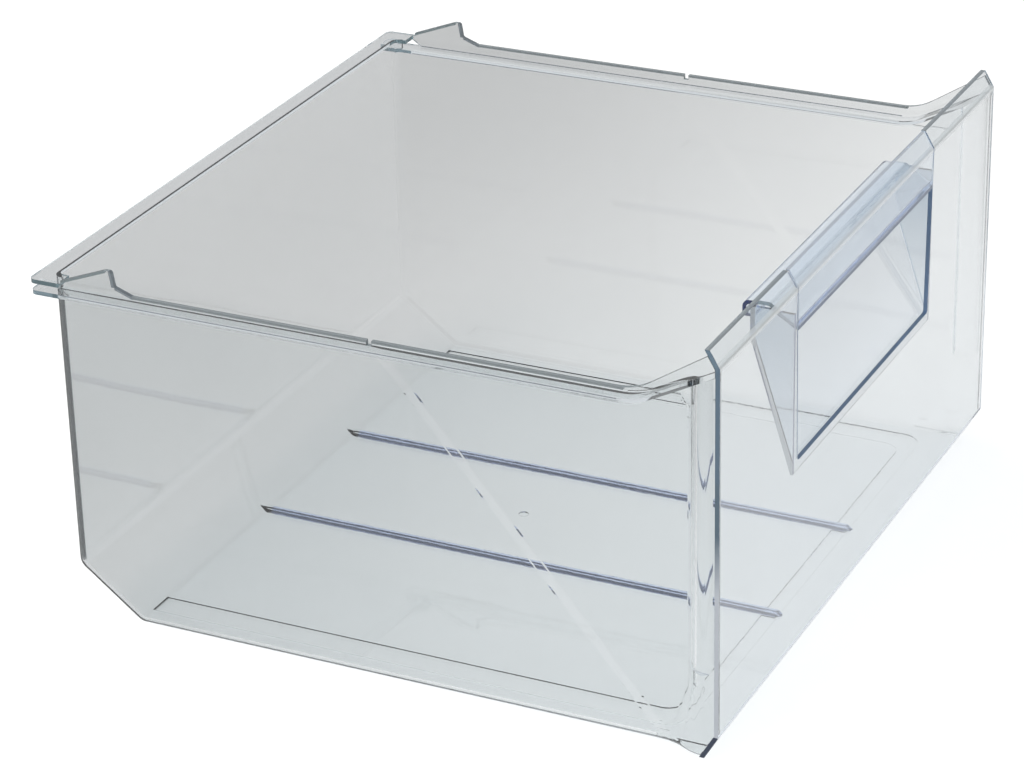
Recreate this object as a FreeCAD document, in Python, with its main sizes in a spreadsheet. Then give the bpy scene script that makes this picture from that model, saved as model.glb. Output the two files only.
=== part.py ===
import FreeCAD, Part
import math
import os
import re
import Sketcher

# A clear moulded freezer drawer: an open-fronted tub, a front panel that closes it,
# and a two-piece handle (a folded grip and the finger pocket behind its opening).
# Millimetres. +X is right as seen from the front, the front panel faces -Y, +Z is up.
# The origin is at the middle of the footprint, on the surface that the drawer stands on.

doc = FreeCAD.newDocument("freezer_drawer")
sheet = doc.addObject("Spreadsheet::Sheet", "sizes")

SIZES = {
    # overall
    "overall_width": 425.0,
    "overall_depth": 404.5,
    "overall_height": 238.0,
    "wall": 2.5,
    "seam": 0.3,
    # tub shell; depths are measured back from the face of the front panel
    "rim_overhang": 9.5,
    "rear_overhang": 9.2,
    "rear_slope_run": 38.8,
    "rear_slope_rise": 30.0,
    "corner_radius": 6.0,
    "bend_radius": 6.0,
    # the side walls sweep outwards behind the front panel
    "flare_gap": 1.7,
    "flare_end": 9.0,
    "flare_start": 25.0,
    "flare_start_low": 41.0,
    "flare_knee": 42.0,
    "bead_gap": 0.2,
    "bead_depth": 9.4,
    "bead_radius": 10.0,
    "bead_start": 56.5,
    # rim: a ledge that slides on the cabinet's rails, and a lip that stands on it
    "rim_drop": 29.0,
    "lip_height": 9.0,
    "lip_rear_gap": 14.5,
    "rise_start": 56.0,
    "rise_radius": 36.0,
    "rise_end_drop": 14.0,
    "rim_front": 1.0,
    "lip_radius": 34.0,
    "ledge_rear_gap": 0.5,
    "flange_reach": 18.5,
    "flange_radius": 4.0,
    "undercut_run": 6.0,
    "notch_shift": 4.25,
    "notch_width": 3.0,
    "notch_depth": 3.0,
    # stop lugs near the rear corners
    "lug_rear_gap": 20.5,
    "lug_peak_gap": 49.0,
    "lug_height": 12.8,
    "lug_top_length": 4.0,
    "lug_toe_length": 12.0,
    "lug_toe_height": 3.8,
    "lug_tip_radius": 1.7,
    # floor
    "rib_spacing": 111.0,
    "rib_width": 3.4,
    "rib_height": 3.0,
    "rib_radius": 1.0,
    "rib_root_radius": 1.6,
    "rib_front": 28.0,
    "rib_ramp": 3.0,
    "swage_margin": 15.0,
    "swage_band": 16.0,
    "swage_front": 30.0,
    "swage_front_band": 9.0,
    "swage_depth": 0.7,
    "swage_radius": 13.0,
    "gate_shift": 9.75,
    "gate_radius": 3.0,
    "gate_depth": 0.6,
    # the forward part of each side wall is set out a little, across a slanting crease
    "field_rise": 0.8,
    "field_band": 9.0,
    "field_foot": 8.0,
    "field_foot_depth": 41.0,
    "field_front": 14.0,
    # front panel
    "foot_run": 8.0,
    "foot_rise": 13.7,
    "head_run": 5.5,
    "head_rise": 9.5,
    "panel_bend_radius": 1.5,
    "opening_top_width": 212.6,
    "opening_bottom_width": 206.4,
    "opening_drop": 110.5,
    "opening_radius": 2.0,
    # handle grip
    "grip_wall": 2.2,
    "lip_fold_drop": 34.0,
    "grip_run": 17.0,
    "grip_top_drop": 21.0,
    "hook_depth": 31.5,
    "hook_drop": 10.0,
    "hook_toe": 2.0,
    "hook_radius": 4.0,
    "fold_radius": 3.0,
    # finger pocket
    "pocket_wall": 2.2,
    "pocket_bend_drop": 42.0,
    "pocket_radius": 3.0,
    "catch_reach": 1.5,
    "catch_height": 2.2,
}
for row, (alias, size) in enumerate(SIZES.items(), start=1):
    sheet.set(f"A{row}", alias)
    sheet.set(f"B{row}", str(size))
    sheet.setAlias(f"B{row}", alias)
doc.recompute()


def bound(text):
    """The expression with each size's name pointing at its cell in the sheet."""
    return re.sub(r"[a-z_]+", lambda m: "sizes." + m.group(0) if m.group(0) in SIZES else m.group(0), text)


def number(text):
    """What the expression comes to with the sizes as they are."""
    result = sheet.evalExpression(bound(text))
    return float(getattr(result, "Value", result))


def new_body(name):
    body = doc.addObject("PartDesign::Body", name)
    body.Label = name
    return body


def new_sketch(body, name, plane, offset=None):
    """A sketch on one of the body's own origin planes, moved along its normal by the offset."""
    sketch = body.newObject("Sketcher::SketchObject", name)
    support = [f for f in body.Origin.OriginFeatures if f.Role == plane][0]
    sketch.AttachmentSupport = [(support, "")]
    sketch.MapMode = "FlatFace"
    if offset is not None:
        sketch.setExpression("AttachmentOffset.Base.z", bound(offset))
    return sketch


def pin(sketch, geometry, point, across, up):
    """Ties one point of the sketch to the sheet, measured from the sketch's origin."""
    for kind, text in (("DistanceX", across), ("DistanceY", up)):
        index = sketch.addConstraint(Sketcher.Constraint(kind, -1, 1, geometry, point, number(text)))
        sketch.setExpression(f"Constraints[{index}]", bound(text))


def outline(body, name, plane, points, offset=None):
    """A closed outline with straight sides, each corner tied to the sheet."""
    sketch = new_sketch(body, name, plane, offset)
    places = [FreeCAD.Vector(number(a), number(b), 0) for a, b in points]
    count = len(places)
    for i in range(count):
        sketch.addGeometry(Part.LineSegment(places[i], places[(i + 1) % count]), False)
    for i in range(count):
        sketch.addConstraint(Sketcher.Constraint("Coincident", i, 2, (i + 1) % count, 1))
    for i, (a, b) in enumerate(points):
        pin(sketch, i, 1, a, b)
    return sketch


def circle(body, name, plane, across, up, radius, offset=None):
    sketch = new_sketch(body, name, plane, offset)
    centre = FreeCAD.Vector(number(across), number(up), 0)
    normal = FreeCAD.Vector(0, 0, 1)
    sketch.addGeometry(Part.Circle(centre, normal, number(radius)), False)
    pin(sketch, 0, 3, across, up)
    set_radius(sketch, 0, radius)
    return sketch


def set_radius(sketch, geometry, radius):
    index = sketch.addConstraint(Sketcher.Constraint("Radius", geometry, number(radius)))
    sketch.setExpression(f"Constraints[{index}]", bound(radius))


def pad(body, name, sketch, length, midplane=False, reverse=False):
    feature = body.newObject("PartDesign::Pad", name)
    feature.Profile = sketch
    feature.Midplane = midplane
    feature.Reversed = reverse
    feature.setExpression("Length", bound(length))
    return settle(feature)


def pocket(body, name, sketch, length, midplane=False, reverse=False):
    """Cuts the sketch's prism away, and stops if that took nothing off."""
    before = body.Shape.Volume
    feature = body.newObject("PartDesign::Pocket", name)
    feature.Profile = sketch
    feature.Midplane = midplane
    feature.Reversed = reverse
    feature.setExpression("Length", bound(length))
    settle(feature)
    if body.Shape.Volume > before - 0.01:
        raise ValueError(f"{name} cuts nothing")
    return feature


def loft(body, name, kind, sketches):
    feature = body.newObject(f"PartDesign::{kind}Loft", name)
    feature.Profile = sketches[0]
    feature.Sections = sketches[1:]
    feature.Ruled = True
    return settle(feature)


def mirror(body, name, features):
    """Repeats the features on the other side of the drawer."""
    feature = body.newObject("PartDesign::Mirrored", name)
    feature.Originals = features
    feature.MirrorPlane = ([f for f in body.Origin.OriginFeatures if f.Role == "YZ_Plane"][0], [""])
    body.Tip = feature
    return settle(feature)


def fillet(body, name, radius, test):
    """Rounds the edges of the body that pass the test."""
    base = body.Tip
    chosen = [f"Edge{i}" for i, edge in enumerate(base.Shape.Edges, start=1) if test(edge.BoundBox)]
    if not chosen:
        raise ValueError(f"{name} finds no edge")
    feature = body.newObject("PartDesign::Fillet", name)
    feature.Base = (base, chosen)
    feature.setExpression("Radius", bound(radius))
    return settle(feature)


def settle(feature):
    doc.recompute()
    if "Invalid" in feature.State or "Error" in feature.State or feature.Shape.isNull():
        raise ValueError(f"{feature.Name} failed: {feature.State}")
    return feature


def near(a, b, slack=0.05):
    return abs(a - b) < slack


def along_y(box, x, z):
    """An edge that runs along Y at this place, on either side."""
    flat = box.XLength < 0.05 and box.ZLength < 0.05
    return flat and box.YLength > 1 and near(abs(box.XMin), x) and near(box.ZMin, z)


def upright(box, x, y):
    """An edge that runs along Z at this place, on either side."""
    flat = box.XLength < 0.05 and box.YLength < 0.05
    return flat and box.ZLength > 0.1 and near(abs(box.XMin), x) and near(box.YMin, y)


def fillet_along_x(body, name, radius, places):
    """Rounds the edges that run along X at these places, each a depth behind the face and a height."""
    spots = [(number(behind(depth)), number(height)) for depth, height in places]

    def wanted(box):
        flat = box.YLength < 0.05 and box.ZLength < 0.05 and box.XLength > 1
        return flat and any(near(box.YMin, y) and near(box.ZMin, z) for y, z in spots)

    return fillet(body, name, radius, wanted)


def side_edges(body, name, radius, inset):
    """Rounds each side wall's edges with the floor, the slope and the rear wall, in one run."""
    x = number(f"{SIDE} - {inset}")
    rear = number(behind(f"{REAR} - rear_slope_run - bend_radius"))
    top = number(TOP)

    def wanted(box):
        on_side = near(abs(box.Center.x), x) and box.XLength < 0.01
        return on_side and box.YMax > rear and not near(box.ZMin, top)

    return fillet(body, name, radius, wanted)


# Places that several pieces share, as expressions of the sizes.
FACE = "-overall_depth / 2"
TOP = "overall_height"
RIM = "overall_width / 2"
SIDE = "(overall_width / 2 - rim_overhang)"
FLARE = "(overall_width / 2 - flare_gap)"
REAR = "(overall_depth - rear_overhang)"
RIM_TOP = "(overall_height - rim_drop)"
LEDGE = "(overall_height - rim_drop - lip_height)"
LEDGE_TOP = f"({LEDGE} + wall)"
ACROSS = "overall_width + 4 * wall"
FOOT = "(wall + seam)"
FOOT_BEND = "(wall + seam + foot_rise)"
HEAD_BEND = "(overall_height - head_rise)"
FOOT_SLANT = "sqrt(foot_run ^ 2 + foot_rise ^ 2)"
HEAD_SLANT = "sqrt(head_run ^ 2 + head_rise ^ 2)"
OPENING_FOOT = "(overall_height - opening_drop)"
LIP_FOLD = "(overall_height - lip_fold_drop)"
GRIP_TOP = "(overall_height - grip_top_drop)"
POCKET_BEND = "(overall_height - pocket_bend_drop)"
OPENING_LEAN = "(opening_top_width - opening_bottom_width) / 2 / (opening_drop - head_rise)"


def behind(depth):
    """The Y place that lies this far behind the face of the front panel."""
    return f"{FACE} + ({depth})"


def panel_back(gap):
    """The back of the panel's plate from its foot to its head, moved back by the gap."""
    reach = f"(wall + ({gap}))"
    low_bend = f"{FOOT_BEND} + {reach} * ({FOOT_SLANT} - foot_rise) / foot_run"
    high_bend = f"{HEAD_BEND} - {reach} * ({HEAD_SLANT} - head_rise) / head_run"
    foot = f"foot_run + {reach} * {FOOT_SLANT} / foot_rise"
    head = f"head_run + {reach} * {HEAD_SLANT} / head_rise"
    return [(behind(foot), FOOT), (behind(reach), low_bend), (behind(reach), high_bend), (behind(head), TOP)]


def opening_half(height):
    """Half the width of the handle's opening at a height: it widens a little upwards."""
    return f"(opening_bottom_width / 2 + (({height}) - {OPENING_FOOT}) * {OPENING_LEAN})"


def arc(sketch, start, centre, end):
    """An arc that runs the short way from start to end; its two ends are points 1 and 2 of the geometry."""
    radius = (start - centre).Length
    turn = [math.atan2(p.y - centre.y, p.x - centre.x) for p in (start, end)]
    if turn[1] < turn[0]:
        turn[1] += 2 * math.pi
    circle_line = Part.Circle(centre, FreeCAD.Vector(0, 0, 1), radius)
    return sketch.addGeometry(Part.ArcOfCircle(circle_line, *turn), False)


def flare_plan(body, name, height, start, inset):
    """The right flare seen from above at one height, an S of two arcs: its outside, or the room inside it."""
    step = "(rim_overhang - flare_gap)"
    run = f"(({start}) - flare_end)"
    radius = f"(({run} ^ 2 + {step} ^ 2) / 4 / {step})"
    room = inset != "0"
    inner = f"({SIDE} - wall - 1)" if room else f"({SIDE} - wall / 2)"
    front = behind("-wall") if room else FACE
    near_arc = f"({radius} - {inset})"
    far_arc = f"({radius} + {inset})"
    middle = (
        f"{FLARE} - {radius} + {near_arc} * ({radius} - {step} / 2) / {radius}",
        behind(f"flare_end + {near_arc} * {run} / 2 / {radius}"),
    )
    places = {
        "front_inner": (inner, front),
        "start_inner": (inner, behind(start)),
        "start": (f"{SIDE} - {inset}", behind(start)),
        "middle": middle,
        "end": (f"{FLARE} - {inset}", behind("flare_end")),
        "front": (f"{FLARE} - {inset}", front),
    }
    at = {key: FreeCAD.Vector(number(a), number(b), 0) for key, (a, b) in places.items()}
    sketch = new_sketch(body, name, "XY_Plane", height)
    side = sketch.addGeometry(Part.LineSegment(at["front_inner"], at["start_inner"]), False)
    rear = sketch.addGeometry(Part.LineSegment(at["start_inner"], at["start"]), False)
    hollow_centre = FreeCAD.Vector(number(f"{SIDE} + {radius}"), at["start"].y, 0)
    round_centre = FreeCAD.Vector(number(f"{FLARE} - {radius}"), at["end"].y, 0)
    hollow_arc = arc(sketch, at["start"], hollow_centre, at["middle"])
    round_arc = arc(sketch, at["end"], round_centre, at["middle"])
    outer = sketch.addGeometry(Part.LineSegment(at["end"], at["front"]), False)
    close = sketch.addGeometry(Part.LineSegment(at["front"], at["front_inner"]), False)
    joints = ((side, 2, rear, 1), (rear, 2, hollow_arc, 1), (hollow_arc, 2, round_arc, 2),
              (round_arc, 1, outer, 1), (outer, 2, close, 1), (close, 2, side, 1))
    for ends in joints:
        sketch.addConstraint(Sketcher.Constraint("Coincident", *ends))
    corners = ((side, 1, "front_inner"), (rear, 1, "start_inner"), (hollow_arc, 1, "start"),
               (hollow_arc, 2, "middle"), (round_arc, 1, "end"), (close, 1, "front"))
    for geometry, point, key in corners:
        pin(sketch, geometry, point, *places[key])
    set_radius(sketch, hollow_arc, far_arc)
    set_radius(sketch, round_arc, near_arc)
    return sketch


def field_plan(body, name, across, setback):
    """The slanting outline of the side wall's forward part, at one distance from the middle."""
    lean = f"(overall_depth / 2 - field_foot_depth) / ({LEDGE} - field_foot)"
    crest = f"{LEDGE} + wall / 2"
    top = f"field_foot_depth + ({crest} - field_foot) * {lean} - {setback}"
    return outline(body, name, "YZ_Plane", [
        (behind(top), crest),
        (behind(f"field_foot_depth - {setback}"), "field_foot"),
        (behind("field_front"), "field_foot"),
        (behind("field_front"), crest),
    ], offset=across)


def rim_line(sketch, level, radius, end_height, rear):
    """A level line from the rear, then an arc and a slope that rises to the front panel.

    Returns the index of the first of its three pieces; the level line starts at the rear."""
    first = sketch.GeometryCount
    back = number(behind(rear))
    bend = number(behind("rise_start"))
    front = number(behind("rim_front"))
    low = number(level)
    high = number(end_height)
    size = number(radius)
    up = FreeCAD.Vector(0, 0, 1)
    start = FreeCAD.Vector(bend, low, 0)
    centre = FreeCAD.Vector(bend, low + size, 0)
    landing = FreeCAD.Vector(bend - 0.55 * size, low + 0.17 * size, 0)
    sketch.addGeometry(Part.LineSegment(FreeCAD.Vector(back, low, 0), start), False)
    sketch.addGeometry(Part.ArcOfCircle(Part.Circle(centre, up, size), 4.13, 4.712), False)
    sketch.addGeometry(Part.LineSegment(landing, FreeCAD.Vector(front, high, 0)), False)
    sketch.addConstraint(Sketcher.Constraint("Horizontal", first))
    sketch.addConstraint(Sketcher.Constraint("Tangent", first, 2, first + 1, 2))
    sketch.addConstraint(Sketcher.Constraint("Tangent", first + 1, 1, first + 2, 1))
    set_radius(sketch, first + 1, radius)
    index = sketch.addConstraint(Sketcher.Constraint("DistanceX", -1, 1, first, 1, back))
    sketch.setExpression(f"Constraints[{index}]", bound(behind(rear)))
    pin(sketch, first, 2, behind("rise_start"), level)
    pin(sketch, first + 2, 2, behind("rim_front"), end_height)
    return first


def rim_band(body, name, across, rear, lower, upper):
    """A closed outline between two rim lines; each is its level, its radius and its end height."""
    sketch = new_sketch(body, name, "YZ_Plane", across)
    low = rim_line(sketch, *lower, rear)
    high = rim_line(sketch, *upper, rear)
    for index, point in ((low, 1), (low + 2, 2)):
        end = 1 if point == 1 else 2
        place = sketch.getPoint(index, point)
        other = sketch.getPoint(high + (index - low), end)
        line = sketch.addGeometry(Part.LineSegment(place, other), False)
        sketch.addConstraint(Sketcher.Constraint("Coincident", line, 1, index, point))
        sketch.addConstraint(Sketcher.Constraint("Coincident", line, 2, high + (index - low), end))
    return sketch


def bead_nose(body, across):
    """The round lower end of the bead: a quarter disc turned about the bead's own axis."""
    sketch = new_sketch(body, "bead_nose_line", "XZ_Plane", f"-({behind('bead_depth')})")
    radius = number("bead_radius")
    centre = FreeCAD.Vector(number(across), number("bead_start"), 0)
    low = centre - FreeCAD.Vector(0, radius, 0)
    out = centre + FreeCAD.Vector(radius, 0, 0)
    axis = sketch.addGeometry(Part.LineSegment(low, centre), False)
    level = sketch.addGeometry(Part.LineSegment(centre, out), False)
    curve = arc(sketch, low, centre, out)
    sketch.addConstraint(Sketcher.Constraint("Coincident", axis, 2, level, 1))
    sketch.addConstraint(Sketcher.Constraint("Coincident", level, 2, curve, 2))
    sketch.addConstraint(Sketcher.Constraint("Coincident", curve, 1, axis, 1))
    sketch.addConstraint(Sketcher.Constraint("Coincident", curve, 3, level, 1))
    sketch.addConstraint(Sketcher.Constraint("Vertical", axis))
    sketch.addConstraint(Sketcher.Constraint("Horizontal", level))
    pin(sketch, axis, 2, across, "bead_start")
    set_radius(sketch, curve, "bead_radius")
    feature = body.newObject("PartDesign::Revolution", "bead_nose")
    feature.Profile = sketch
    feature.ReferenceAxis = (sketch, ["Edge1"])
    feature.Angle = 360
    return settle(feature)


def rib_root_line(body, root):
    """The section of a rib's spread foot: a hollow curve on each side."""
    sketch = new_sketch(body, "rib_root_line", "XZ_Plane", f"-({behind('rib_front + rib_ramp')})")
    middle = "rib_spacing / 2"
    half = "rib_width / 2"
    foot = f"({half} + rib_root_radius)"
    top = "wall + rib_root_radius"
    places = [
        (f"{middle} - {foot}", root),
        (f"{middle} + {foot}", root),
        (f"{middle} + {foot}", "wall"),
        (f"{middle} + {half}", top),
        (f"{middle} - {half}", top),
        (f"{middle} - {foot}", "wall"),
    ]
    at = [FreeCAD.Vector(number(a), number(b), 0) for a, b in places]
    right_centre = FreeCAD.Vector(at[2].x, at[3].y, 0)
    left_centre = FreeCAD.Vector(at[5].x, at[4].y, 0)
    bottom = sketch.addGeometry(Part.LineSegment(at[0], at[1]), False)
    right = sketch.addGeometry(Part.LineSegment(at[1], at[2]), False)
    right_arc = arc(sketch, at[3], right_centre, at[2])
    crest = sketch.addGeometry(Part.LineSegment(at[3], at[4]), False)
    left_arc = arc(sketch, at[5], left_centre, at[4])
    left = sketch.addGeometry(Part.LineSegment(at[5], at[0]), False)
    joints = ((bottom, 2, right, 1), (right, 2, right_arc, 2), (right_arc, 1, crest, 1),
              (crest, 2, left_arc, 2), (left_arc, 1, left, 1), (left, 2, bottom, 1))
    for ends in joints:
        sketch.addConstraint(Sketcher.Constraint("Coincident", *ends))
    corners = ((bottom, 1), (bottom, 2), (right, 2), (crest, 1), (crest, 2), (left, 1))
    for (geometry, point), place in zip(corners, places):
        pin(sketch, geometry, point, *place)
    set_radius(sketch, right_arc, "rib_root_radius")
    set_radius(sketch, left_arc, "rib_root_radius")
    return sketch


def build_tub():
    body = new_body("tub")

    # solid block with the slope at the foot of the rear wall
    rear_low = f"{REAR} - rear_slope_run"
    block = [
        (FACE, "0"),
        (behind(rear_low), "0"),
        (behind(REAR), "rear_slope_rise"),
        (behind(REAR), TOP),
        (FACE, TOP),
    ]
    pad(body, "block", outline(body, "block_line", "YZ_Plane", block), f"2 * {SIDE}", midplane=True)
    bends = [(rear_low, "0"), (REAR, "rear_slope_rise")]
    fillet_along_x(body, "slope_outer_bends", "bend_radius + wall", bends)

    # the flares and their beads
    bead_across = f"{RIM} - bead_gap - bead_radius"
    bead_line = circle(body, "bead_line", "XY_Plane", bead_across, behind("bead_depth"), "bead_radius",
                       offset="bead_start")
    flare = [
        loft(body, "flare_low", "Additive", [
            flare_plan(body, "flare_plan_floor", "0", "flare_start_low", "0"),
            flare_plan(body, "flare_plan_knee", "flare_knee", "flare_start", "0"),
        ]),
        pad(body, "flare_high", flare_plan(body, "flare_plan_high", "flare_knee", "flare_start", "0"),
            f"{TOP} - flare_knee"),
        pad(body, "bead", bead_line, f"{TOP} - bead_start"),
        bead_nose(body, bead_across),
    ]
    mirror(body, "flare_left", flare)
    side_edges(body, "side_edges", "corner_radius", "0")

    # the hollow between the side walls
    slant = "sqrt(rear_slope_run ^ 2 + rear_slope_rise ^ 2)"
    floor_bend = f"{rear_low} - wall * ({slant} - rear_slope_run) / rear_slope_rise"
    wall_bend = f"rear_slope_rise + wall * ({slant} - rear_slope_rise) / rear_slope_run"
    hollow = [
        (behind("-wall"), "wall"),
        (behind(floor_bend), "wall"),
        (behind(f"{REAR} - wall"), wall_bend),
        (behind(f"{REAR} - wall"), f"{TOP} + wall"),
        (behind("-wall"), f"{TOP} + wall"),
    ]
    hollow_line = outline(body, "hollow_line", "YZ_Plane", hollow)
    pocket(body, "hollow", hollow_line, f"2 * ({SIDE} - wall)", midplane=True)
    bends = [(floor_bend, "wall"), (f"{REAR} - wall", wall_bend)]
    fillet_along_x(body, "slope_inner_bends", "bend_radius", bends)
    side_edges(body, "side_edges_inside", "corner_radius - wall", "wall")

    # forward of a slanting crease the side wall steps out, at an even thickness
    field = [
        loft(body, "field_outside", "Additive", [
            field_plan(body, "field_outer_foot", SIDE + " - 0.1", "0"),
            field_plan(body, "field_outer_face", SIDE + " + field_rise", "field_band"),
        ]),
        loft(body, "field_inside", "Subtractive", [
            field_plan(body, "field_inner_foot", SIDE + " - wall - 0.1", "0"),
            field_plan(body, "field_inner_face", SIDE + " - wall + field_rise", "field_band"),
        ]),
    ]
    mirror(body, "field_left", field)

    # the side walls end under the rim; the rear wall goes on up to its flange
    under = (LEDGE, "rise_radius", f"{TOP} - rise_end_drop")
    halfway = (f"{LEDGE} + wall / 2", "rise_radius - wall / 2", f"{TOP} - rise_end_drop + wall * 0.6")
    over = (LEDGE_TOP, "rise_radius - wall", f"{TOP} - rise_end_drop + wall * 1.15")
    crest = (RIM_TOP, "lip_radius", TOP)
    beyond = (f"{TOP} + wall * 4", "rise_radius", f"{TOP} + wall * 9")
    above = rim_band(body, "above_rim", None, f"{REAR} - corner_radius", halfway, beyond)
    pocket(body, "wall_tops", above, ACROSS, midplane=True)
    rear_top = [
        (behind("rise_start"), RIM_TOP),
        (behind("overall_depth + wall"), RIM_TOP),
        (behind("overall_depth + wall"), f"{TOP} + wall"),
        (behind("rise_start"), f"{TOP} + wall"),
    ]
    rear_top_line = outline(body, "rear_top_line", "YZ_Plane", rear_top)
    pocket(body, "rear_wall_top", rear_top_line, ACROSS, midplane=True)

    # ledge, lip and stop lug on the right, then the same on the left
    ledge_line = rim_band(body, "ledge_line", f"{SIDE} - wall", "overall_depth - ledge_rear_gap", under, over)
    lip_line = rim_band(body, "lip_line", f"{RIM} - wall", "overall_depth - lip_rear_gap", under, crest)
    lug_foot = "overall_depth - lug_peak_gap - lug_top_length"
    lug_line = outline(body, "lug_line", "YZ_Plane", [
        (behind("overall_depth - lug_rear_gap"), f"{RIM_TOP} - 1"),
        (behind("overall_depth - lug_rear_gap"), f"{RIM_TOP} + lug_toe_height / 2"),
        (behind("overall_depth - lug_peak_gap"), f"{RIM_TOP} + lug_height"),
        (behind(lug_foot), f"{RIM_TOP} + lug_height"),
        (behind(f"{lug_foot} - lug_toe_length / 8"), f"{RIM_TOP} + lug_toe_height"),
        (behind(f"{lug_foot} - lug_toe_length"), RIM_TOP),
        (behind(f"{lug_foot} - lug_toe_length"), f"{RIM_TOP} - 1"),
    ], offset=f"{RIM} - wall")
    rim = [
        pad(body, "ledge", ledge_line, "rim_overhang + wall"),
        pad(body, "lip", lip_line, "wall"),
        pad(body, "lug", lug_line, "wall"),
    ]
    mirror(body, "rim_left", rim)
    peaks = [(depth, f"{RIM_TOP} + lug_height") for depth in ("overall_depth - lug_peak_gap", lug_foot)]
    fillet_along_x(body, "lug_tips", "lug_tip_radius", peaks)
    toe = [(f"{lug_foot} - lug_toe_length / 8", f"{RIM_TOP} + lug_toe_height")]
    fillet_along_x(body, "lug_toes", "lug_tip_radius", toe)

    # the rear flange runs over the ledges' ends, and the lips rise to it
    start = "overall_depth - flange_reach"
    undercut = [
        (behind(f"{start} - undercut_run"), LEDGE_TOP),
        (behind(start), f"{RIM_TOP} - wall"),
        (behind("overall_depth + wall"), f"{RIM_TOP} - wall"),
        (behind("overall_depth + wall"), LEDGE_TOP),
    ]
    for name, sign in (("undercut_right", ""), ("undercut_left", "-")):
        line = outline(body, f"{name}_line", "YZ_Plane", undercut, offset=f"{sign}({RIM} - wall - 1)")
        pocket(body, name, line, "wall + 2", reverse=not sign)
    flange_line = outline(body, "flange_line", "XY_Plane", [
        (f"-{RIM}", behind(start)),
        (f"-{RIM}", behind("overall_depth")),
        (RIM, behind("overall_depth")),
        (RIM, behind(start)),
        (f"{SIDE} - wall", behind(start)),
        (f"{SIDE} - wall", behind(f"{REAR} - wall")),
        (f"-({SIDE} - wall)", behind(f"{REAR} - wall")),
        (f"-({SIDE} - wall)", behind(start)),
    ], offset=f"{RIM_TOP} - wall")
    pad(body, "rear_flange", flange_line, "wall")
    for name, gap in (("flange_corners", "0"), ("ledge_corners", "ledge_rear_gap")):
        corner = (number(RIM), number(behind(f"overall_depth - {gap}")))
        fillet(body, name, "flange_radius", lambda box: upright(box, *corner))

    # room inside the flares, open at the top and the front
    low_start = "flare_start_low - (flare_start_low - flare_start) * wall / flare_knee"
    rooms = [
        loft(body, "room_low", "Subtractive", [
            flare_plan(body, "room_plan_floor", "wall", low_start, "wall"),
            flare_plan(body, "room_plan_knee", "flare_knee", "flare_start", "wall"),
        ]),
        pocket(body, "room_high", flare_plan(body, "room_plan_high", "flare_knee", "flare_start", "wall"),
               f"{TOP} - flare_knee", reverse=True),
    ]
    mirror(body, "rooms_left", rooms)

    # clearance for the front panel
    clear = panel_back("seam")
    clear = [(clear[0][0], "-wall")] + clear
    clear += [(clear[-1][0], f"{TOP} + wall"), (behind("-wall"), f"{TOP} + wall"), (behind("-wall"), "-wall")]
    clear_line = outline(body, "front_clearance_line", "YZ_Plane", clear)
    pocket(body, "front_clearance", clear_line, ACROSS, midplane=True)

    # floor: swage ring, gate mark and ribs
    outer = f"({SIDE} - swage_margin)"
    inner = f"({SIDE} - swage_margin - swage_band)"
    deep = "swage_front + swage_front_band"
    ring = outline(body, "swage_line", "XY_Plane", [
        (f"-{outer}", behind("swage_front")),
        (outer, behind("swage_front")),
        (outer, behind(floor_bend)),
        (inner, behind(floor_bend)),
        (inner, behind(deep)),
        (f"-{inner}", behind(deep)),
        (f"-{inner}", behind(floor_bend)),
        (f"-{outer}", behind(floor_bend)),
    ], offset="wall")
    pocket(body, "swage", ring, "swage_depth")
    corner = (number(outer), number(behind("swage_front")))
    fillet(body, "swage_corners", "swage_radius", lambda box: upright(box, *corner))
    corner = (number(inner), number(behind(deep)))
    fillet(body, "swage_inner_corners", "swage_radius * 0.8", lambda box: upright(box, *corner))
    gate_place = behind("overall_depth / 2 + gate_shift")
    gate = circle(body, "gate_line", "XY_Plane", "0", gate_place, "gate_radius", offset="wall")
    pocket(body, "gate", gate, "gate_depth")
    root = "wall - swage_depth - 0.2"
    crown = "wall + rib_height"
    rib_line = outline(body, "rib_line", "YZ_Plane", [
        (behind("rib_front"), root),
        (behind("rib_front"), "wall"),
        (behind("rib_front + rib_ramp"), crown),
        (behind(f"{floor_bend} + rib_height * rear_slope_run / rear_slope_rise + 1"), crown),
        (behind(floor_bend), root),
    ], offset="rib_spacing / 2")
    root_line = rib_root_line(body, root)
    root_end = f"({floor_bend}) + rib_root_radius - (rib_front + rib_ramp)"
    ribs = [
        pad(body, "rib", rib_line, "rib_width", midplane=True),
        pad(body, "rib_root", root_line, root_end, reverse=True),
    ]
    mirror(body, "rib_left", ribs)
    sides = [number(f"(rib_spacing + {sign}rib_width) / 2") for sign in ("", "-")]
    fillet(body, "rib_crowns", "rib_radius", lambda box: any(along_y(box, x, number(crown)) for x in sides))

    # a small notch in each lip, halfway along
    notch_rear = "overall_depth / 2 - notch_shift"
    notch = outline(body, "notch_line", "YZ_Plane", [
        (behind(f"{notch_rear} - notch_width"), f"{RIM_TOP} - notch_depth"),
        (behind(notch_rear), f"{RIM_TOP} - notch_depth"),
        (behind(notch_rear), f"{RIM_TOP} + wall"),
        (behind(f"{notch_rear} - notch_width"), f"{RIM_TOP} + wall"),
    ])
    pocket(body, "notches", notch, ACROSS, midplane=True)
    return body


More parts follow.
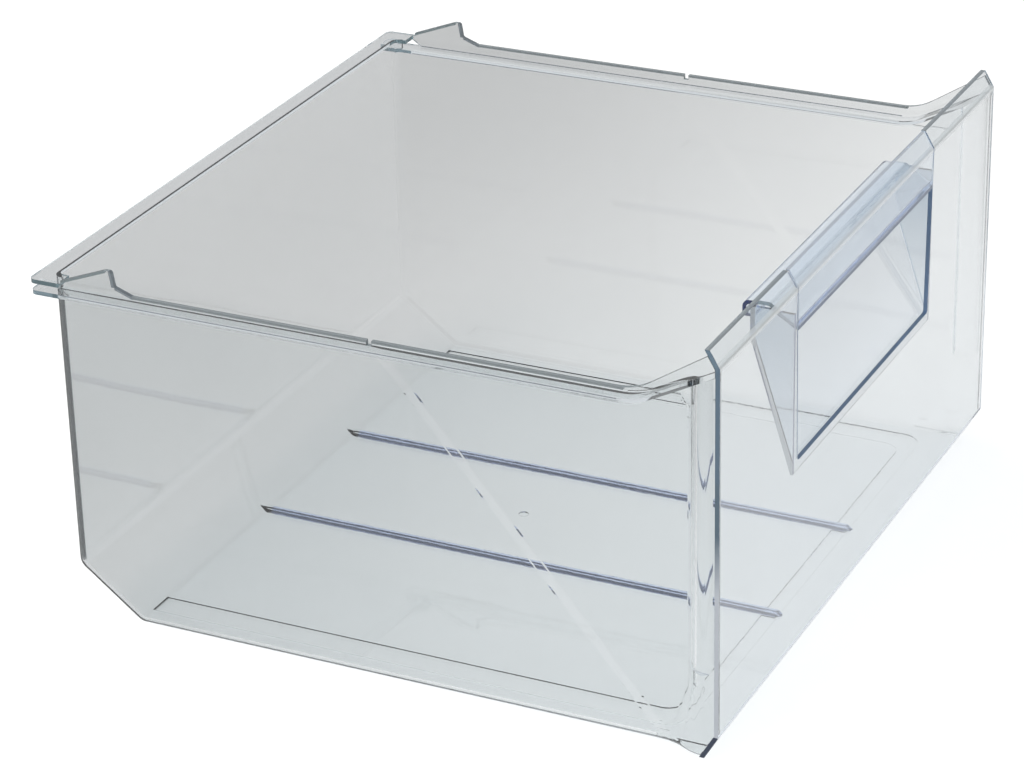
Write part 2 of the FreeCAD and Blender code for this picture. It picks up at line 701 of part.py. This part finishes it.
def build_front_panel():
    body = new_body("front_panel")
    outer = [(behind("foot_run"), FOOT), (FACE, FOOT_BEND), (FACE, HEAD_BEND), (behind("head_run"), TOP)]
    line = outline(body, "panel_line", "YZ_Plane", outer + panel_back("0")[::-1])
    pad(body, "plate", line, "overall_width", midplane=True)
    bends = [("0", FOOT_BEND), ("0", HEAD_BEND)]
    fillet_along_x(body, "panel_bends", "panel_bend_radius", bends)
    top = f"{TOP} + wall"
    window = outline(body, "opening_line", "XZ_Plane", [
        (f"-{opening_half(OPENING_FOOT)}", OPENING_FOOT),
        (opening_half(OPENING_FOOT), OPENING_FOOT),
        (opening_half(top), top),
        (f"-{opening_half(top)}", top),
    ])
    pocket(body, "opening", window, "overall_depth + 10 * wall", midplane=True)
    bottom = number(OPENING_FOOT)
    fillet(body, "opening_corners", "opening_radius",
           lambda box: box.ZLength < 0.05 and box.XLength < 0.05 and near(box.ZMin, bottom))
    return body


def build_handle_grip():
    """A ribbon folded from the face of the panel back over the groove and down into a hook."""
    body = new_body("handle_grip")
    under = f"{GRIP_TOP} - grip_wall"
    inside = "hook_depth - grip_wall"
    toe = f"{GRIP_TOP} - hook_drop"
    line = outline(body, "grip_line", "YZ_Plane", [
        (FACE, HEAD_BEND),
        (FACE, LIP_FOLD),
        (behind("grip_wall * 0.7"), LIP_FOLD),
        (behind("grip_run + 1"), under),
        (behind(inside), under),
        (behind(inside), f"{toe} + 1.4"),
        (behind(f"{inside} - hook_toe"), f"{toe} + 0.8"),
        (behind(f"{inside} - hook_toe"), toe),
        (behind("hook_depth"), toe),
        (behind("hook_depth"), GRIP_TOP),
        (behind("grip_run"), GRIP_TOP),
        (behind("grip_wall"), f"{LIP_FOLD} + grip_wall * 1.4"),
        (behind("grip_wall"), HEAD_BEND),
    ])
    pad(body, "ribbon", line, f"2 * ({opening_half(LIP_FOLD)} - seam)", midplane=True)
    fillet_along_x(body, "hook_bend", "hook_radius", [("hook_depth", GRIP_TOP)])
    fillet_along_x(body, "hook_bend_inside", "hook_radius - grip_wall", [(inside, under)])
    fillet_along_x(body, "groove_shoulder", "fold_radius", [("grip_run", GRIP_TOP), ("grip_run + 1", under)])
    fillet_along_x(body, "groove_bottom", "fold_radius / 2", [("grip_wall", f"{LIP_FOLD} + grip_wall * 1.4")])
    fillet_along_x(body, "lip_edges", "grip_wall / 4", [("0", LIP_FOLD), ("grip_wall * 0.7", LIP_FOLD)])
    return body


def build_finger_pocket():
    """The slanting wall and cheeks behind the opening; the grip's hook snaps over the wall's catch."""
    body = new_body("finger_pocket")
    gap = "(wall + seam)"
    back = "hook_depth - grip_wall - hook_toe - seam"
    top = f"{GRIP_TOP} - grip_wall - seam"
    foot = f"{OPENING_FOOT} - pocket_wall * 3"
    outer = outline(body, "pocket_outer_line", "YZ_Plane", [
        (behind(gap), foot),
        (behind(f"{gap} + pocket_wall / 2"), foot),
        (behind(back), POCKET_BEND),
        (behind(back), top),
        (behind(gap), top),
    ])
    pad(body, "outside", outer, "opening_top_width + 2 * pocket_wall", midplane=True)
    inner = outline(body, "pocket_inner_line", "YZ_Plane", [
        (FACE, OPENING_FOOT),
        (behind(gap), OPENING_FOOT),
        (behind(f"{back} - pocket_wall"), POCKET_BEND),
        (behind(f"{back} - pocket_wall"), f"{top} + wall"),
        (FACE, f"{top} + wall"),
    ])
    pocket(body, "inside", inner, "opening_top_width", midplane=True)
    fillet_along_x(body, "wall_bend", "pocket_radius + pocket_wall", [(back, POCKET_BEND)])
    fillet_along_x(body, "wall_bend_inside", "pocket_radius", [(f"{back} - pocket_wall", POCKET_BEND)])
    catch = outline(body, "catch_line", "YZ_Plane", [
        (behind(f"{back} - pocket_wall / 2"), top),
        (behind(f"{back} - pocket_wall / 2"), f"{top} - 2 * catch_height"),
        (behind(back), f"{top} - 2 * catch_height"),
        (behind(f"{back} + catch_reach"), f"{top} - catch_height"),
        (behind(f"{back} + catch_reach / 3"), top),
    ])
    pad(body, "catch", catch, f"2 * ({opening_half(LIP_FOLD)} - seam)", midplane=True)
    return body


bodies = [build_tub(), build_front_panel(), build_handle_grip(), build_finger_pocket()]
doc.recompute()
for item in doc.Objects:
    if "Invalid" in item.State or "Error" in item.State:
        raise ValueError(f"{item.Name} is not well: {item.State}")
os.makedirs("parts", exist_ok=True)
for body in bodies:
    shape = body.Shape
    if shape.isNull() or not shape.isValid() or len(shape.Solids) != 1:
        raise ValueError(f"{body.Label} is not one sound solid: {len(shape.Solids)}")
    shape.exportStep(f"parts/{body.Label}.step")
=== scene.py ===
import math

import bmesh
import bpy
from mathutils import Matrix, Vector


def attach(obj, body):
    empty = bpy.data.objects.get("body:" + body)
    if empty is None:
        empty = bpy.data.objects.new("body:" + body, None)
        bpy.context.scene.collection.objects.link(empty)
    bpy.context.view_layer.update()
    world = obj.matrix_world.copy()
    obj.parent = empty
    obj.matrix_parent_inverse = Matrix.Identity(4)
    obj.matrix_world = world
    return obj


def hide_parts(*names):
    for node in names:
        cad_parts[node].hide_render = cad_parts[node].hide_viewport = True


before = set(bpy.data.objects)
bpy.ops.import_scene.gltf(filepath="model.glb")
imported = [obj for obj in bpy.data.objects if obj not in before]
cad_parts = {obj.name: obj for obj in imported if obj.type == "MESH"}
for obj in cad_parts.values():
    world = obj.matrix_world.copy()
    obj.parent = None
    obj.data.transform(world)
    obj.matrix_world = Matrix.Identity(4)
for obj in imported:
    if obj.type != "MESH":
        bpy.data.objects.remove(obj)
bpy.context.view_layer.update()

scene = bpy.context.scene

# The photo's frame, and its camera as solved from the drawer's straight edges: pixels, degrees,
# metres.
IMAGE_WIDTH = 1024
IMAGE_HEIGHT = 780
FOCAL_LENGTH = 3467.58
CENTRE_X, CENTRE_Y = 510.34, 389.59
CAMERA_AZIMUTH = -63.90
CAMERA_ELEVATION = 25.64
CAMERA_ROLL = -1.39
CAMERA_PLACE = (-1.64463, -0.78850, 0.96163)
CAMERA_REACH = 50
SENSOR_WIDTH = 36

# Lamps: place and size in metres, power in watts. They point at the middle of the drawer.
LAMPS = {
    "key": ((-1.2, 0.6, 1.9), (1.4, 1.0), 22),
    "rim": ((1.6, 1.4, 1.3), (0.5, 1.6), 10),
}
LAMP_TARGET = (0, 0, 0.1)

# The studio round the drawer: the strength of its light, of its white to the camera, and from the
# horizon to the ceiling as the plastic shows it.
STUDIO_COLOUR = (0.94, 0.97, 1.0, 1)
STUDIO_LIGHT = 0.80
STUDIO_WHITE = 1.0
STUDIO_SHOWN = (0.78, 0.10)
STUDIO_HEIGHTS = (0.35, 0.8)

# The floor: its tone to the camera, and as the plastic shows it, with painted shade from front to
# rear and far away.
FLOOR_HALF = 30
FLOOR_DROP = 0.0005
FLOOR_SEEN = (0.95, 0.97)
FLOOR_PAINTED_SHADE = (0.86, 0.50)
FLOOR_PAINTED_SHADE_DEPTHS = (-0.25, 0.42)
FLOOR_GRAIN = 0.02
FLOOR_PAINTED_FALLOFF = (1.0, 0.6)
FLOOR_PAINTED_FALLOFF_MIDDLE = (0.15, 0.15, 0.0)
FLOOR_PAINTED_FALLOFF_REACH = (0.8, 1.4)

# The grip's bevelled head: the strip's top edge, and how far back and up the head goes (metres).
# Then how near two points are one, how near the top edge a face is its own, and the direction
# that the mesh's parts are sorted along.
STRIP_TOP = 0.2285
HEAD_RUN = 0.0055
HEAD_RISE = 0.0095
SAME_PLACE = 1e-6
NEAR_TOP = 1e-4
SORTING = Vector((1.0, 37.31, 913.7))

# Light's paths through the sheets, which lie many layers deep.
CLEAR_BOUNCES = 32
GLOSSY_BOUNCES = 12

# Each piece's plastic: the tint of its surface, the colour that light takes on inside it with the
# density of that (per metre), and its roughness.
LOOKS = {
    "tub": ((0.918, 0.932, 0.934), (0.42, 0.55, 0.64), 10.0, 0.01),
    "front_panel": ((0.925, 0.94, 0.945), (0.42, 0.58, 0.78), 10.0, 0.01),
    "handle_grip": ((0.88, 0.91, 0.93), (0.10, 0.36, 0.80), 20.0, 0.03),
    "finger_pocket": ((0.93, 0.945, 0.955), (0.10, 0.40, 0.82), 16.0, 0.01),
}
SEED_STEP = 3.1
PLASTIC_IOR = 1.5
RUB = 0.05

# Ranges that several entries of painted shade and light share: of |x| in metres, and of a
# direction's share along one axis.
OUTER_SIDE = (0.2124, 0.2126)
LIP = (0.2099, 0.2126)
ALONG = (0.9, 1.1)
MOSTLY = (0.7, 1.1)
ACROSS = (0.0, 0.5)

# Painted shade and light on each piece: dark lines and bands on edges, folds and ribs, and lighter
# bands. Each entry gives ranges of place (metres) and of direction, then the painted colour and how
# clear those faces are. Later entries lie over earlier ones. The function that lays them says what
# each range is of.
PAINTED_SHADING = {
    "tub": [
        # a painted dark line of shade where the ledges join the lips
        ({"side": OUTER_SIDE, "y": (-0.146, 0.183), "z": (0.2019, 0.2025), "turn": ALONG},
         (0.16, 0.18, 0.20), 0.4),
        # painted shade on the edges of the lips and the lugs
        ({"side": LIP, "y": (-0.21, 0.183), "z": (0.2045, 0.25), "turn": ACROSS, "up": (-0.3, 1.1)},
         (0.17, 0.20, 0.21), 0.35),
        # painted shade on the strip below them: along the lip, then up and down the lug's three
        # slopes
        ({"side": LIP, "y": (-0.150, 0.1372), "z": (0.2077, 0.2091)}, (0.19, 0.215, 0.225), 0.35),
        ({"side": LIP, "y": (0.1526, 0.183), (0, 0.3785, 1): (0.2782, 0.2799)},
         (0.19, 0.225, 0.235), 0.35),
        ({"side": LIP, "y": (0.1365, 0.1475), (0, -0.3646, 1): (0.1576, 0.1591)},
         (0.17, 0.195, 0.215), 0.35),
        ({"side": LIP, "z": (0.2125, 0.2219), (0, 1, -0.1667): (0.1120, 0.1140)},
         (0.17, 0.195, 0.215), 0.35),
        # painted grey shade on the tops of the side walls, under the lips
        ({"side": (0.2004, 0.2031), "y": (-0.15, 0.187), "z": (0.2024, 0.2026), "up": ALONG},
         (0.66, 0.69, 0.70), 0.35),
        # painted shade on the edges of the upper and lower plates at the rear corners
        ({"y": (0.1837, 0.2024), "z": (0.2064, 0.2091), "side": (0.2, 0.2126), "flat": ACROSS},
         (0.13, 0.19, 0.21), 0.35),
        ({"y": (0.1837, 0.2024), "z": (0.1999, 0.2026), "side": (0.2034, 0.2126), "flat": ACROSS},
         (0.14, 0.20, 0.23), 0.4),
        # painted shade on the upright rear corner on the left
        ({"x": (-0.2031, -0.1965), "y": (0.186, 0.1935), "z": (0.034, 0.2),
          "turn": (0.02, 0.998), "flat": (0.0, 0.3)}, (0.20, 0.21, 0.215), 0.7),
        # painted bluish shade on the ribs
        ({"side": (0.0, 0.19), "y": (-0.19, 0.149), "z": (0.00255, 0.0057)},
         (0.46, 0.54, 0.80), 0.84),
        # a painted light band along the slanting crease of the left wall
        ({"x": (-0.2039, -0.2), "y": (-0.171, -0.0005), "lean": (0.03, 0.3), "turn": (0.9, 0.999)},
         (0.962, 0.968, 0.97), 1.0),
    ],
    "front_panel": [
        # the side edges: painted light grey, with painted shade above and at the foot
        ({"side": OUTER_SIDE}, (0.60, 0.64, 0.70), 0.35),
        ({"side": OUTER_SIDE, "fade": (0.100, 0.135)}, (0.10, 0.155, 0.205), 0.3),
        ({"side": OUTER_SIDE, "z": (0.0, 0.0165)}, (0.03, 0.045, 0.085), 0.3),
        # painted shade on the head's upper edge, and lighter painted shade on the fold below it
        ({"z": (0.2379, 0.2381), "up": ALONG}, (0.20, 0.225, 0.24), 0.3),
        ({"side": (0.106, 0.2124), "z": (0.2264, 0.2296), "turn": (0.0, 0.1)},
         (0.72, 0.75, 0.755), 0.45),
        # painted dark shade on the opening's edges
        ({"side": (0.0, 0.108), "lean": ACROSS, "z": (0.12, 0.237)}, (0.095, 0.145, 0.225), 0.3),
    ],
    "handle_grip": [
        # painted dark shade at the fold at the strip's foot
        ({"z": (0.2039, 0.2067), "y": (-0.2024, -0.1985), "up": (-1.1, 0.05)},
         (0.075, 0.11, 0.18), 0.25),
        # painted shade on the head's upper edge, and lighter painted shade on the fold below it
        ({"z": (0.2379, 0.2381), "up": ALONG}, (0.42, 0.445, 0.465), 0.35),
        ({"z": (0.2264, 0.2296), "y": (-0.2024, -0.19), "turn": (0.0, 0.1)},
         (0.74, 0.77, 0.785), 0.45),
        # the flat top, painted a pale grey for its light and shade
        ({"z": (0.2146, 0.2171), "y": (-0.184, -0.174)}, (0.80, 0.835, 0.86), 0.6),
        # painted shade on the ends: darkest at the hook, lightest at the strip
        ({"turn": MOSTLY}, (0.12, 0.17, 0.19), 0.3),
        ({"turn": MOSTLY, "y": (-0.178, -0.17)}, (0.025, 0.035, 0.09), 0.25),
        ({"turn": MOSTLY, "z": (0.2066, 0.239), "y": (-0.2024, -0.19)}, (0.55, 0.60, 0.65), 0.5),
    ],
    "finger_pocket": [
        # painted shade on the cheeks, darker towards the top
        ({"turn": ALONG, "fade": (0.12, 0.20)}, (0.62, 0.68, 0.74), 1.0),
        # painted shade on the slanting wall's ends, with a painted dark line along the rear
        ({"turn": ALONG, (0, 0.952, -0.306): (-0.2290, -0.2200)}, (0.62, 0.66, 0.70), 0.45),
        ({"turn": ALONG, (0, 0.956, -0.293): (-0.2259, -0.2249), "fade": (0.145, 0.165)},
         (0.10, 0.12, 0.20), 0.3),
        # painted dark shade on the cheeks' front edges
        ({"side": (0.1062, 0.1086), "y": (-0.1996, -0.199), "back": (-1.1, -0.99)},
         (0.14, 0.15, 0.23), 0.3),
        # painted grey shade on the upright end under the hook
        ({"turn": ALONG, "y": (-0.1782, -0.171), "z": (0.192, 0.2145)}, (0.60, 0.65, 0.70), 0.6),
    ],
}


class Nodes:
    """Short calls for building a node tree."""

    def __init__(self, tree):
        self.tree = tree
        tree.nodes.clear()

    def add(self, kind, inputs=None, **settings):
        """Adds a node. Each input is linked if it is given as a socket, and set if not."""
        node = self.tree.nodes.new(kind)
        for name, setting in settings.items():
            setattr(node, name, setting)
        for name, setting in (inputs or {}).items():
            if isinstance(setting, bpy.types.NodeSocket):
                self.tree.links.new(setting, node.inputs[name])
            else:
                node.inputs[name].default_value = setting
        return node

    def math(self, operation, *values):
        return self.add("ShaderNodeMath", dict(enumerate(values)), operation=operation).outputs[0]

    def vector(self, operation, first, second, output=0):
        inputs = {0: first, 1: second}
        return self.add("ShaderNodeVectorMath", inputs, operation=operation).outputs[output]

    def remap(self, value, old, new, **settings):
        """Carries a value over from the old range to the new one."""
        inputs = {"Value": value, "From Min": old[0], "From Max": old[1],
                  "To Min": new[0], "To Max": new[1]}
        return self.add("ShaderNodeMapRange", inputs, **settings).outputs["Result"]

    def noise(self, place, scale, detail, **inputs):
        inputs = {"Vector": place, "Scale": scale, "Detail": detail, **inputs}
        return self.add("ShaderNodeTexNoise", inputs).outputs["Fac"]

    # A Mix node's sockets share their names, so these two reach them by number.
    def blend_numbers(self, share, first, second):
        inputs = {0: share, 2: first, 3: second}
        return self.add("ShaderNodeMix", inputs, data_type="FLOAT").outputs[0]

    def blend_colours(self, share, first, second):
        inputs = {0: share, 6: first, 7: second}
        return self.add("ShaderNodeMix", inputs, data_type="RGBA").outputs[2]

    def mix_shaders(self, share, first, second):
        return self.add("ShaderNodeMixShader", {0: share, 1: first, 2: second}).outputs[0]

    def shown_by_plastic(self, path):
        """1 for what is seen through the plastic or mirrored in it, else 0."""
        return self.math("MAXIMUM", path["Is Glossy Ray"], path["Is Transmission Ray"])


def add_painted_shading(n, place, painted_shade_entries, colour):
    """Lays each entry's painted shade and light, its colour and clearness, over its faces.

    A range may be of the place: x, y, z, side (x without its sign), or a tuple of factors that
    x, y and z are summed with, for a slanting strip. It may be of the face's direction: back and
    up (its y and z), or turn, lean and flat (its x, y and z without their sign). A fade starts
    at its first z and is whole at its second."""
    spot = n.add("ShaderNodeSeparateXYZ", {0: place}).outputs
    facing = n.add("ShaderNodeNewGeometry").outputs["True Normal"]
    facing = n.add("ShaderNodeSeparateXYZ", {0: facing}).outputs
    sockets = {"x": spot["X"], "y": spot["Y"], "z": spot["Z"],
               "back": facing["Y"], "up": facing["Z"],
               "side": n.math("ABSOLUTE", spot["X"]), "turn": n.math("ABSOLUTE", facing["X"]),
               "lean": n.math("ABSOLUTE", facing["Y"]), "flat": n.math("ABSOLUTE", facing["Z"])}
    clear = 1.0
    for ranges, painted_colour, painted_clearness in painted_shade_entries:
        mask = None
        for name, (low, high) in ranges.items():
            if name == "fade":
                inside = n.remap(spot["Z"], (low, high), (0.0, 1.0))
            else:
                value = sockets.get(name)
                if value is None:
                    value = n.vector("DOT_PRODUCT", place, name, output="Value")
                inside = n.math("COMPARE", value, (low + high) / 2, (high - low) / 2)
            mask = inside if mask is None else n.math("MULTIPLY", mask, inside)
        # Painted shade and light: the entry's colour and clearness go over its faces.
        colour = n.blend_colours(mask, colour, (*painted_colour, 1))
        clear = n.blend_numbers(mask, clear, painted_clearness)
    return colour, clear


def clear_plastic(node, seed):
    """Clear moulded plastic: faint flow ripples, fine rub streaks, a tint that deepens along the
    sheet, and the node's painted shade and light on edges, folds and bands."""
    tint, absorbed, density, roughness = LOOKS[node]
    material = bpy.data.materials.new(f"clear_{node}")
    material.use_nodes = True
    n = Nodes(material.node_tree)
    place = n.add("ShaderNodeTexCoord").outputs["Object"]
    shifted = n.vector("ADD", place, (seed, seed * 0.7, seed * 0.3))
    ripple = n.noise(shifted, 9.0, 1.0, Roughness=0.4)
    fine = n.noise(shifted, 420.0, 2.0, Roughness=0.6)
    streak = n.noise(n.vector("MULTIPLY", shifted, (60.0, 60.0, 900.0)), 1.0, 3.0, Roughness=0.7)
    rubbed = n.remap(streak, (0.56, 0.74), (roughness, roughness + RUB))
    low = n.add("ShaderNodeBump", {"Height": ripple, "Strength": 0.12, "Distance": 0.004})
    bump = n.add("ShaderNodeBump", {"Height": fine, "Strength": 0.012, "Distance": 0.0002,
                                    "Normal": low.outputs["Normal"]})
    cloud = n.remap(ripple, (0.0, 1.0), (0.985, 1.015))
    tinted = n.add("ShaderNodeVectorMath", {0: tint, "Scale": cloud}, operation="SCALE")
    # The piece's painted shade and light go over its tinted plastic.
    colour, clear = add_painted_shading(n, place, PAINTED_SHADING[node], tinted.outputs[0])
    shade = n.add("ShaderNodeBsdfPrincipled", {
        "Base Color": colour, "Transmission Weight": clear, "IOR": PLASTIC_IOR,
        "Roughness": rubbed, "Normal": bump.outputs["Normal"]})
    # Shadows and soft light pass straight through. The root makes a sheet's two faces tint them
    # once.
    path = n.add("ShaderNodeLightPath").outputs
    passing = n.math("MAXIMUM", path["Is Shadow Ray"], path["Is Diffuse Ray"])
    once = [math.sqrt(part) for part in tint]
    through = n.add("ShaderNodeBsdfTransparent", {"Color": (*once, 1)})
    surface = n.mix_shaders(passing, shade.outputs[0], through.outputs[0])
    inside = n.add("ShaderNodeVolumeAbsorption", {"Color": (*absorbed, 1), "Density": density})
    n.add("ShaderNodeOutputMaterial", {"Surface": surface, "Volume": inside.outputs[0]})
    return material


def floor_material():
    """A pale floor: nearly white to the camera; as the plastic shows it, greyer, with painted shade
    that darkens it towards the rear and away from the middle.
    """
    material = bpy.data.materials.new("floor")
    material.use_nodes = True
    n = Nodes(material.node_tree)
    place = n.add("ShaderNodeTexCoord").outputs["Object"]
    depth = n.add("ShaderNodeSeparateXYZ", {0: place}).outputs["Y"]
    grain = n.noise(place, 60.0, 3.0)
    pale = n.remap(grain, (0.0, 1.0), FLOOR_SEEN)
    # Painted shade on the floor as the plastic shows it: darker towards the rear and away from the
    # middle.
    away = n.vector("DISTANCE", place, FLOOR_PAINTED_FALLOFF_MIDDLE, output="Value")
    fade = n.remap(away, FLOOR_PAINTED_FALLOFF_REACH, FLOOR_PAINTED_FALLOFF, interpolation_type="SMOOTHSTEP")
    painted_depth_shade = n.remap(depth, FLOOR_PAINTED_SHADE_DEPTHS, FLOOR_PAINTED_SHADE, interpolation_type="SMOOTHSTEP")
    grain_and_painted_shade = n.math("MULTIPLY", n.math("MULTIPLY_ADD", grain, FLOOR_GRAIN, painted_depth_shade), fade)
    path = n.add("ShaderNodeLightPath").outputs
    tone = n.blend_numbers(n.shown_by_plastic(path), pale, grain_and_painted_shade)
    shade = n.add("ShaderNodeBsdfDiffuse", {"Color": tone})
    n.add("ShaderNodeOutputMaterial", {"Surface": shade.outputs[0]})
    return material


def add_camera():
    azimuth = math.radians(CAMERA_AZIMUTH)
    elevation = math.radians(CAMERA_ELEVATION)
    roll = math.radians(CAMERA_ROLL)
    back = Vector((math.sin(azimuth) * math.cos(elevation),
                   -math.cos(azimuth) * math.cos(elevation), math.sin(elevation)))
    level = Vector((math.cos(azimuth), math.sin(azimuth), 0))
    upright = back.cross(level)
    right = level * math.cos(roll) + upright * math.sin(roll)
    up = upright * math.cos(roll) - level * math.sin(roll)
    data = bpy.data.cameras.new("camera")
    data.sensor_fit = "HORIZONTAL"
    data.sensor_width = SENSOR_WIDTH
    data.lens = FOCAL_LENGTH / IMAGE_WIDTH * SENSOR_WIDTH
    data.shift_x = (IMAGE_WIDTH / 2 - CENTRE_X) / IMAGE_WIDTH
    data.shift_y = (CENTRE_Y - IMAGE_HEIGHT / 2) / IMAGE_WIDTH
    data.clip_end = CAMERA_REACH
    camera = bpy.data.objects.new("camera", data)
    turn = Matrix((right, up, back)).transposed().to_4x4()
    camera.matrix_world = Matrix.Translation(CAMERA_PLACE) @ turn
    scene.collection.objects.link(camera)
    scene.camera = camera


def add_stage():
    mesh = bpy.data.meshes.new("floor")
    half = FLOOR_HALF
    corners = [(-half, -half, 0), (half, -half, 0), (half, half, 0), (-half, half, 0)]
    mesh.from_pydata(corners, [], [(0, 1, 2, 3)])
    floor = bpy.data.objects.new("floor", mesh)
    floor.location.z = -FLOOR_DROP
    mesh.materials.append(floor_material())
    scene.collection.objects.link(floor)


def add_world():
    """A studio with a bright horizon and a dimmer ceiling; the camera itself sees it white."""
    world = bpy.data.worlds.new("studio")
    scene.world = world
    world.use_nodes = True
    n = Nodes(world.node_tree)
    path = n.add("ShaderNodeLightPath").outputs
    direction = n.add("ShaderNodeTexCoord").outputs["Generated"]
    height = n.add("ShaderNodeSeparateXYZ", {0: direction}).outputs["Z"]
    fade = n.remap(height, STUDIO_HEIGHTS, STUDIO_SHOWN, interpolation_type="SMOOTHSTEP")
    studio = n.add("ShaderNodeBackground", {"Color": STUDIO_COLOUR, "Strength": fade})
    light = n.add("ShaderNodeBackground", {"Color": (1, 1, 1, 1), "Strength": STUDIO_LIGHT})
    white = n.add("ShaderNodeBackground", {"Color": (1, 1, 1, 1), "Strength": STUDIO_WHITE})
    seen = n.mix_shaders(path["Is Camera Ray"], light.outputs[0], white.outputs[0])
    surface = n.mix_shaders(n.shown_by_plastic(path), seen, studio.outputs[0])
    n.add("ShaderNodeOutputWorld", {"Surface": surface})


def add_light(name, place, size, power):
    """A soft lamp that lights the drawer and isn't mirrored in it."""
    data = bpy.data.lights.new(name, "AREA")
    data.shape = "RECTANGLE"
    data.size, data.size_y = size
    data.energy = power
    light = bpy.data.objects.new(name, data)
    light.location = place
    aim = Vector(LAMP_TARGET) - Vector(place)
    light.rotation_euler = aim.to_track_quat("-Z", "Y").to_euler()
    light.visible_glossy = False
    light.visible_transmission = False
    scene.collection.objects.link(light)


def add_grip():
    """The grip with its bevelled head, drawn up from the strip's top edge. The head carries on
    the panel's own."""
    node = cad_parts["handle_grip"]
    grip = bpy.data.objects.new("folded_grip", node.data.copy())
    scene.collection.objects.link(grip)
    shape = bmesh.new()
    shape.from_mesh(grip.data)
    bmesh.ops.remove_doubles(shape, verts=shape.verts, dist=SAME_PLACE)
    top = [face for face in shape.faces
           if min(v.co.z for v in face.verts) > STRIP_TOP - NEAR_TOP]
    drawn = bmesh.ops.extrude_face_region(shape, geom=top)["geom"]
    corners = [item for item in drawn if isinstance(item, bmesh.types.BMVert)]
    bmesh.ops.translate(shape, verts=corners, vec=(0, HEAD_RUN, HEAD_RISE))
    bmesh.ops.delete(shape, geom=[face for face in top if face.is_valid], context="FACES")
    bmesh.ops.recalc_face_normals(shape, faces=shape.faces)
    # Drawing up leaves the new parts in a chance order. Sorted by place, they are alike each run.
    shape.verts.sort(key=lambda vert: vert.co.dot(SORTING))
    shape.edges.sort(key=lambda edge: (edge.verts[0].co + edge.verts[1].co).dot(SORTING))
    shape.faces.sort(key=lambda face: face.calc_center_median().dot(SORTING))
    shape.to_mesh(grip.data)
    shape.free()
    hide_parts("handle_grip")
    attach(grip, "root")
    return grip


def main():
    add_camera()
    add_stage()
    add_world()
    for name, (place, size, power) in LAMPS.items():
        add_light(name, place, size, power)
    shown = dict(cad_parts, handle_grip=add_grip())
    for count, node in enumerate(LOOKS, start=1):
        material = clear_plastic(node, count * SEED_STEP)
        for spot in shown[node].material_slots:
            spot.material = material
    scene.cycles.max_bounces = CLEAR_BOUNCES
    scene.cycles.transmission_bounces = CLEAR_BOUNCES
    scene.cycles.transparent_max_bounces = CLEAR_BOUNCES
    scene.cycles.glossy_bounces = GLOSSY_BOUNCES
    scene.view_settings.view_transform = "Standard"


main()
